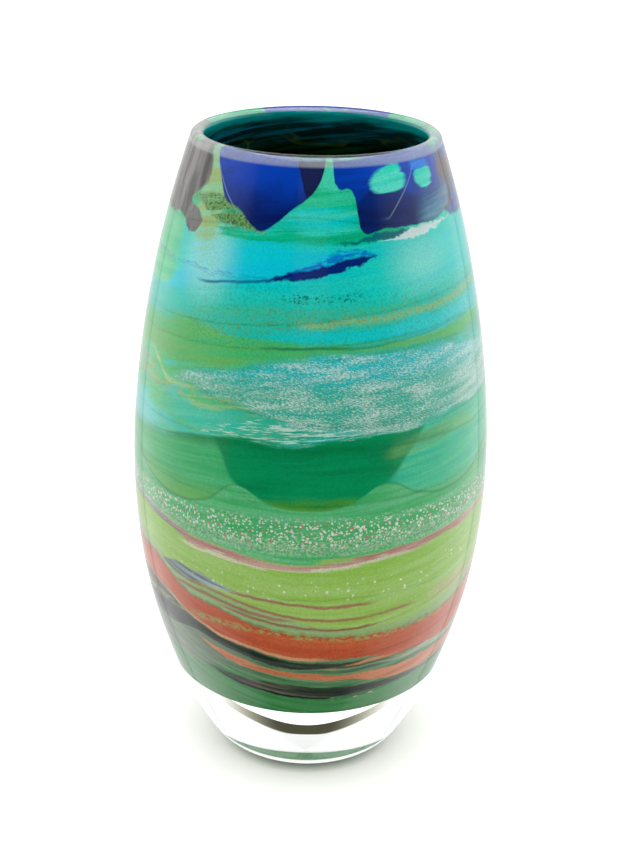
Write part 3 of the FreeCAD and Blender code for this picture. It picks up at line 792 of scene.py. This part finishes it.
GLASSES = {  # roughness, relief and the layers of the swirl that reach into each glass, from the lowest up
    "dark_green_glass": (0.75, 0.3, (paint_foot, paint_trails)),
    "slate_glass": (0.7, 0.3, (paint_foot, paint_trails, paint_orange, paint_lime)),
    "orange_glass": (0.85, 0.5, (paint_foot, paint_trails, paint_orange, paint_lime)),
    "lime_glass": (0.8, 0.4, (paint_orange, paint_lime, paint_mauve, paint_speckles)),
    "mauve_glass": (0.7, 0.3, (paint_lime, paint_mauve, paint_speckles)),
    "speckled_glass": (0.85, 0.6, (paint_lime, paint_mauve, paint_speckles, paint_emerald)),
    "emerald_glass": (0.7, 0.3, (paint_speckles, paint_emerald, paint_feather)),
    "sea_green_glass": (0.8, 0.4, (paint_emerald, paint_feather, paint_olive)),
    "white_frit": (0.9, 0.6, (paint_feather, paint_olive, paint_turquoise, paint_neck)),
    "olive_glass": (0.85, 0.5, (paint_feather, paint_olive, paint_turquoise)),
    "turquoise_glass": (0.8, 0.4, (paint_olive, paint_turquoise, paint_neck)),
    "deep_blue_glass": (0.7, 0.3, (paint_olive, paint_turquoise)),
    "mint_glass": (0.75, 0.3, (paint_turquoise, paint_neck)),
    "cobalt_glass": (0.65, 0.2, (paint_turquoise, paint_neck)),
    "charcoal_glass": (0.7, 0.3, (paint_turquoise, paint_neck)),
    "pale_turquoise_glass": (0.7, 0.3, (paint_turquoise, paint_neck)),
}


def swirled_colours(slot, layers):
    """The part of the swirl that runs through one glass. It runs on in the next, as the lines are the same."""
    tree = bpy.data.node_groups.new(slot + "_swirl", "ShaderNodeTree")
    tree.interface.new_socket("Color", in_out="OUTPUT", socket_type="NodeSocketColor")
    tree.interface.new_socket("Grain", in_out="OUTPUT", socket_type="NodeSocketFloat")
    v = VaseRecipe(tree)
    for layer in layers:
        layer(v)
    shade = v.smooth(v.noise(v.place, 0.55, 1.0), 0.3, 0.7)
    shaded = v.add("ShaderNodeHueSaturation", {"Hue": 0.492, "Value": 0.8, "Color": v.colour}).outputs[0]
    v.lay(shade, shaded, share=0.75)
    paint_inside(v)
    output = tree.nodes.new("NodeGroupOutput")
    tree.links.new(v.colour, output.inputs[0])
    tree.links.new(v.total(v.grain, v.strand), output.inputs[1])
    return tree


# --- materials ---
MIRROR = 0.65              # strength of the mirroring seen square on, against bare glass
CLEAR_TINT = (0.985, 0.995, 0.988, 1.0)
WAVE_SIZE = 0.03           # metres
BUMP_DEPTH = 0.0002        # metres


def coloured_glass(slot, roughness, relief, layers):
    """Opaque glass set in clear glass, so it has no gloss of its own."""
    material = bpy.data.materials.new(slot)
    material.use_nodes = True
    recipe = Recipe(material.node_tree)
    shader = recipe.nodes["Principled BSDF"]
    group = recipe.nodes.new("ShaderNodeGroup")
    group.node_tree = swirled_colours(slot, layers)
    recipe.links.new(group.outputs["Color"], shader.inputs["Base Color"])
    shader.inputs["Roughness"].default_value = roughness
    shader.inputs["Specular IOR Level"].default_value = 0.0
    bump = {"Height": group.outputs["Grain"], "Strength": relief, "Distance": BUMP_DEPTH}
    bump = recipe.add("ShaderNodeBump", bump)
    recipe.links.new(bump.outputs[0], shader.inputs["Normal"])
    return material


def clear_glass():
    """Polished clear glass with the slight waves of hand work."""
    material = bpy.data.materials.new("clear_glass")
    material.use_nodes = True
    recipe = Recipe(material.node_tree)
    shader = recipe.nodes["Principled BSDF"]
    shader.inputs["Base Color"].default_value = CLEAR_TINT
    shader.inputs["Roughness"].default_value = 0.0
    shader.inputs["IOR"].default_value = 1.5
    shader.inputs["Transmission Weight"].default_value = 1.0
    shader.inputs["Specular Tint"].default_value = (MIRROR, MIRROR, MIRROR, 1.0)
    place = recipe.add("ShaderNodeTexCoord", {}).outputs["Object"]
    waves = recipe.noise(place, WAVE_SIZE, 1.0, 0.4)
    bump = recipe.add("ShaderNodeBump", {"Height": waves, "Strength": 0.35, "Distance": BUMP_DEPTH})
    recipe.links.new(bump.outputs[0], shader.inputs["Normal"])
    return material


BAND_SLOTS = {
    "green_foot_cup": "dark_green_glass", "slate_swirl_band": "slate_glass", "orange_band": "orange_glass",
    "lime_band": "lime_glass", "mauve_thread": "mauve_glass", "speckled_frit_band": "speckled_glass",
    "emerald_band": "emerald_glass", "sea_green_band": "sea_green_glass", "olive_band": "olive_glass",
    "turquoise_band": "turquoise_glass", "mint_neck_band": "mint_glass",
}
INLAY_SLOTS = {
    "orange_trail": "orange_glass", "white_frit_feather": "white_frit",
    "blue_feather_streak": "deep_blue_glass", "white_crest_thread": "white_frit",
    "cobalt_shard_left": "cobalt_glass", "cobalt_shard_right": "cobalt_glass",
    "cobalt_shard_back": "cobalt_glass", "charcoal_shard_left": "charcoal_glass",
    "charcoal_shard_right": "charcoal_glass", "turquoise_chip_large": "pale_turquoise_glass",
    "turquoise_chip_small": "pale_turquoise_glass",
}


# --- the vase ---
def clear_body(material):
    """Casing and lining, one clear body from the foot over the lip to the inner floor, with the colour in it."""
    foot = [(0.0, 0.0)] + [tuple(point) for point in FOOT_ARC[:-1]]
    outline = foot + [tuple(point) for point in OUTSIDE[:-1]] + [tuple(point) for point in LIP_ARC]
    outline += [tuple(point) for point in LINING_IN[-2::-1]]
    vertices, faces = turned_mesh(outline)
    piece = add_piece("clear_casing_and_lining", "outer_gather", vertices, faces, material)
    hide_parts("inner_gather")
    return piece


def build_vase():
    coloured = {slot: coloured_glass(slot, *finish) for slot, finish in GLASSES.items()}
    clear_body(clear_glass())
    below = None
    for node, slot in BAND_SLOTS.items():
        ring_piece(node, below, coloured[slot])
        below = node
    for node, slot in INLAY_SLOTS.items():
        inlay_piece(node, coloured[slot])


# --- table, light and camera ---
FLOOR_HALF_WIDTH = 6.0            # metres
FLOOR_DROP = 0.05                 # millimetres below the foot
FLOOR_WHITES = ((0.65, 0.647, 0.643, 1.0), (0.67, 0.667, 0.663, 1.0))
TABLE_GLOW, GLOW_TINT = 0.4, (1.0, 0.98, 0.93, 1.0)   # the table glows softly: painted light that lifts the shade round the vase
PAINTED_SHADOW_REACH = (0.022, 0.034)       # metres from the axis where the painted green-tinted shadow under the foot fades out
PAINTED_GREEN_SHADOW = (0.03, 0.12, 0.05, 1.0)

# The room: turns run from 0 at the front to 1 at the back, heights are those of the direction looked in.
HALF_WALL_LEVELS = [(0, 0.015), (0.2, 0.015), (0.27, 0.05), (0.3, 0.2), (0.39, 0.46), (0.5, 0.63),
                    (0.61, 0.87), (0.7, 0.87), (0.8, 0.6), (1, 0.52)]
SEAM_TURN, SEAM_LEVEL = 0.772, 0.65
STRIP_TURN, STRIP_EDGE, STRIP_LEVEL = -0.01, (0.06, 0.075), 0.28   # pale upright strip at the front
SLIT_FROM, SLIT_TO, SLIT_DEPTH = (-0.012, -0.004), (0.034, 0.042), 0.92
SLIT_TINT = (1.0, 0.95, 0.6, 1.0)
BOX_SIDES, BOX_FRONT, BOX_BACK = (0.46, 0.54), (-1.38, -1.28), (0.45, 0.6)
BOX_LEVEL, TOP_LEVEL = 4.2, 0.5   # soft box overhead, and the rest of the ceiling
CEILING_FROM = (0.62, 0.68)
SEEN_LEVEL = 0.99                 # what the camera sees behind the vase

CAMERA_PLACE = (3.24 * MM, -580.0 * MM, 351.9 * MM)
CAMERA_DOWN, CAMERA_ROLL = 21.51, 1.175               # degrees
CAMERA_SENSOR, CAMERA_LENS = 36.0, 73.86              # millimetres


def plain_white(name):
    """White with a soft painted glow, and a painted green-tinted shadow under the foot."""
    material = bpy.data.materials.new(name)
    material.use_nodes = True
    recipe = Recipe(material.node_tree)
    shader = recipe.nodes["Principled BSDF"]
    place = recipe.add("ShaderNodeTexCoord", {}).outputs["Object"]
    tone = recipe.noise(place, 0.05, 3.0)
    white = recipe.mix(tone, *FLOOR_WHITES)
    reach = recipe.add("ShaderNodeVectorMath", {0: place}, operation="LENGTH").outputs["Value"]
    # painted shadow: green-tinted and dark near the foot, where the table gives no glow either
    outside_painted_shadow = recipe.smooth(reach, *PAINTED_SHADOW_REACH)
    recipe.links.new(recipe.mix(outside_painted_shadow, PAINTED_GREEN_SHADOW, white), shader.inputs["Base Color"])
    # painted light: the table glows outside the painted shadow
    shader.inputs["Emission Color"].default_value = GLOW_TINT
    recipe.links.new(recipe.product(outside_painted_shadow, TABLE_GLOW), shader.inputs["Emission Strength"])
    shader.inputs["Roughness"].default_value = 0.9
    shader.inputs["Specular IOR Level"].default_value = 0.0
    return material


def build_table():
    """Wide white sweep. The polished glass mirrors the room below the horizon in its place."""
    half = FLOOR_HALF_WIDTH
    mesh = bpy.data.meshes.new("floor")
    corners = [(-half, -half, 0), (half, -half, 0), (half, half, 0), (-half, half, 0)]
    mesh.from_pydata(corners, [], [(0, 1, 2, 3)])
    floor = bpy.data.objects.new("floor", mesh)
    floor.location.z = -FLOOR_DROP * MM
    floor.visible_glossy = False
    mesh.materials.append(plain_white("floor"))
    bpy.context.collection.objects.link(floor)


def walls(recipe, x, y, z):
    """Brightness of the tent all round, and where the slit at the horizon behind the sweep is."""
    signed = recipe.product(recipe.math("ARCTAN2", x, recipe.product(y, -1.0)), 1 / math.pi)
    turn = recipe.math("ABSOLUTE", signed)
    around = recipe.product(recipe.curve(turn, HALF_WALL_LEVELS), 2.0)
    seam = recipe.math("ABSOLUTE", recipe.math("SUBTRACT", turn, SEAM_TURN))
    seam = recipe.product(recipe.smooth(seam, 0.002, 0.01), 1 - SEAM_LEVEL)
    around = recipe.product(around, recipe.total(seam, SEAM_LEVEL))
    strip = recipe.math("ABSOLUTE", recipe.total(signed, -STRIP_TURN))
    strip = recipe.product(recipe.invert(recipe.smooth(strip, *STRIP_EDGE)), recipe.smooth(z, 0.0, 0.1),
                           STRIP_LEVEL)
    around = recipe.total(around, strip)
    slit = recipe.product(recipe.smooth(z, *SLIT_FROM), recipe.invert(recipe.smooth(z, *SLIT_TO)),
                          recipe.smooth(turn, 0.8, 0.95))
    return recipe.product(around, recipe.invert(recipe.product(slit, SLIT_DEPTH))), slit


def ceiling(recipe, x, y, z):
    """Brightness overhead, where the soft box hangs."""
    height = recipe.math("MAXIMUM", z, 0.001)
    across = recipe.math("ABSOLUTE", recipe.math("DIVIDE", x, height))
    along = recipe.math("DIVIDE", y, height)
    box = recipe.product(recipe.invert(recipe.smooth(across, *BOX_SIDES)), recipe.smooth(along, *BOX_FRONT),
                         recipe.invert(recipe.smooth(along, *BOX_BACK)))
    return recipe.total(recipe.product(box, BOX_LEVEL - TOP_LEVEL), TOP_LEVEL)


def build_light():
    """White light tent: side panels, a soft box overhead, a dim front, and a dark slit behind the sweep."""
    world = bpy.data.worlds.new("light_tent")
    bpy.context.scene.world = world
    world.use_nodes = True
    recipe = Recipe(world.node_tree)
    background = recipe.nodes["Background"]
    direction = recipe.add("ShaderNodeTexCoord", {}).outputs["Generated"]
    x, y, z = recipe.add("ShaderNodeSeparateXYZ", {0: direction}).outputs
    around, slit = walls(recipe, x, y, z)
    above = recipe.smooth(z, *CEILING_FROM)
    overhead = recipe.product(above, ceiling(recipe, x, y, z))
    level = recipe.total(recipe.product(around, recipe.invert(above)), overhead)
    seen = recipe.add("ShaderNodeLightPath", {}).outputs["Is Camera Ray"]
    level = recipe.total(recipe.product(level, recipe.invert(seen)), recipe.product(seen, SEEN_LEVEL))
    recipe.links.new(level, background.inputs["Strength"])
    recipe.links.new(recipe.mix(slit, (1.0, 1.0, 1.0, 1.0), SLIT_TINT), background.inputs["Color"])


def place_camera():
    camera = bpy.data.objects.new("camera", bpy.data.cameras.new("camera"))
    camera.data.sensor_width = CAMERA_SENSOR
    camera.data.lens = CAMERA_LENS
    camera.data.clip_end = 50.0
    tilt, roll = math.radians(90 - CAMERA_DOWN), math.radians(CAMERA_ROLL)
    turned = Matrix.Rotation(tilt, 4, "X") @ Matrix.Rotation(roll, 4, "Z")
    camera.matrix_world = Matrix.Translation(CAMERA_PLACE) @ turned
    bpy.context.collection.objects.link(camera)
    bpy.context.scene.camera = camera
    bpy.context.scene.view_settings.view_transform = "Standard"


place_camera()
build_light()
build_table()
build_vase()
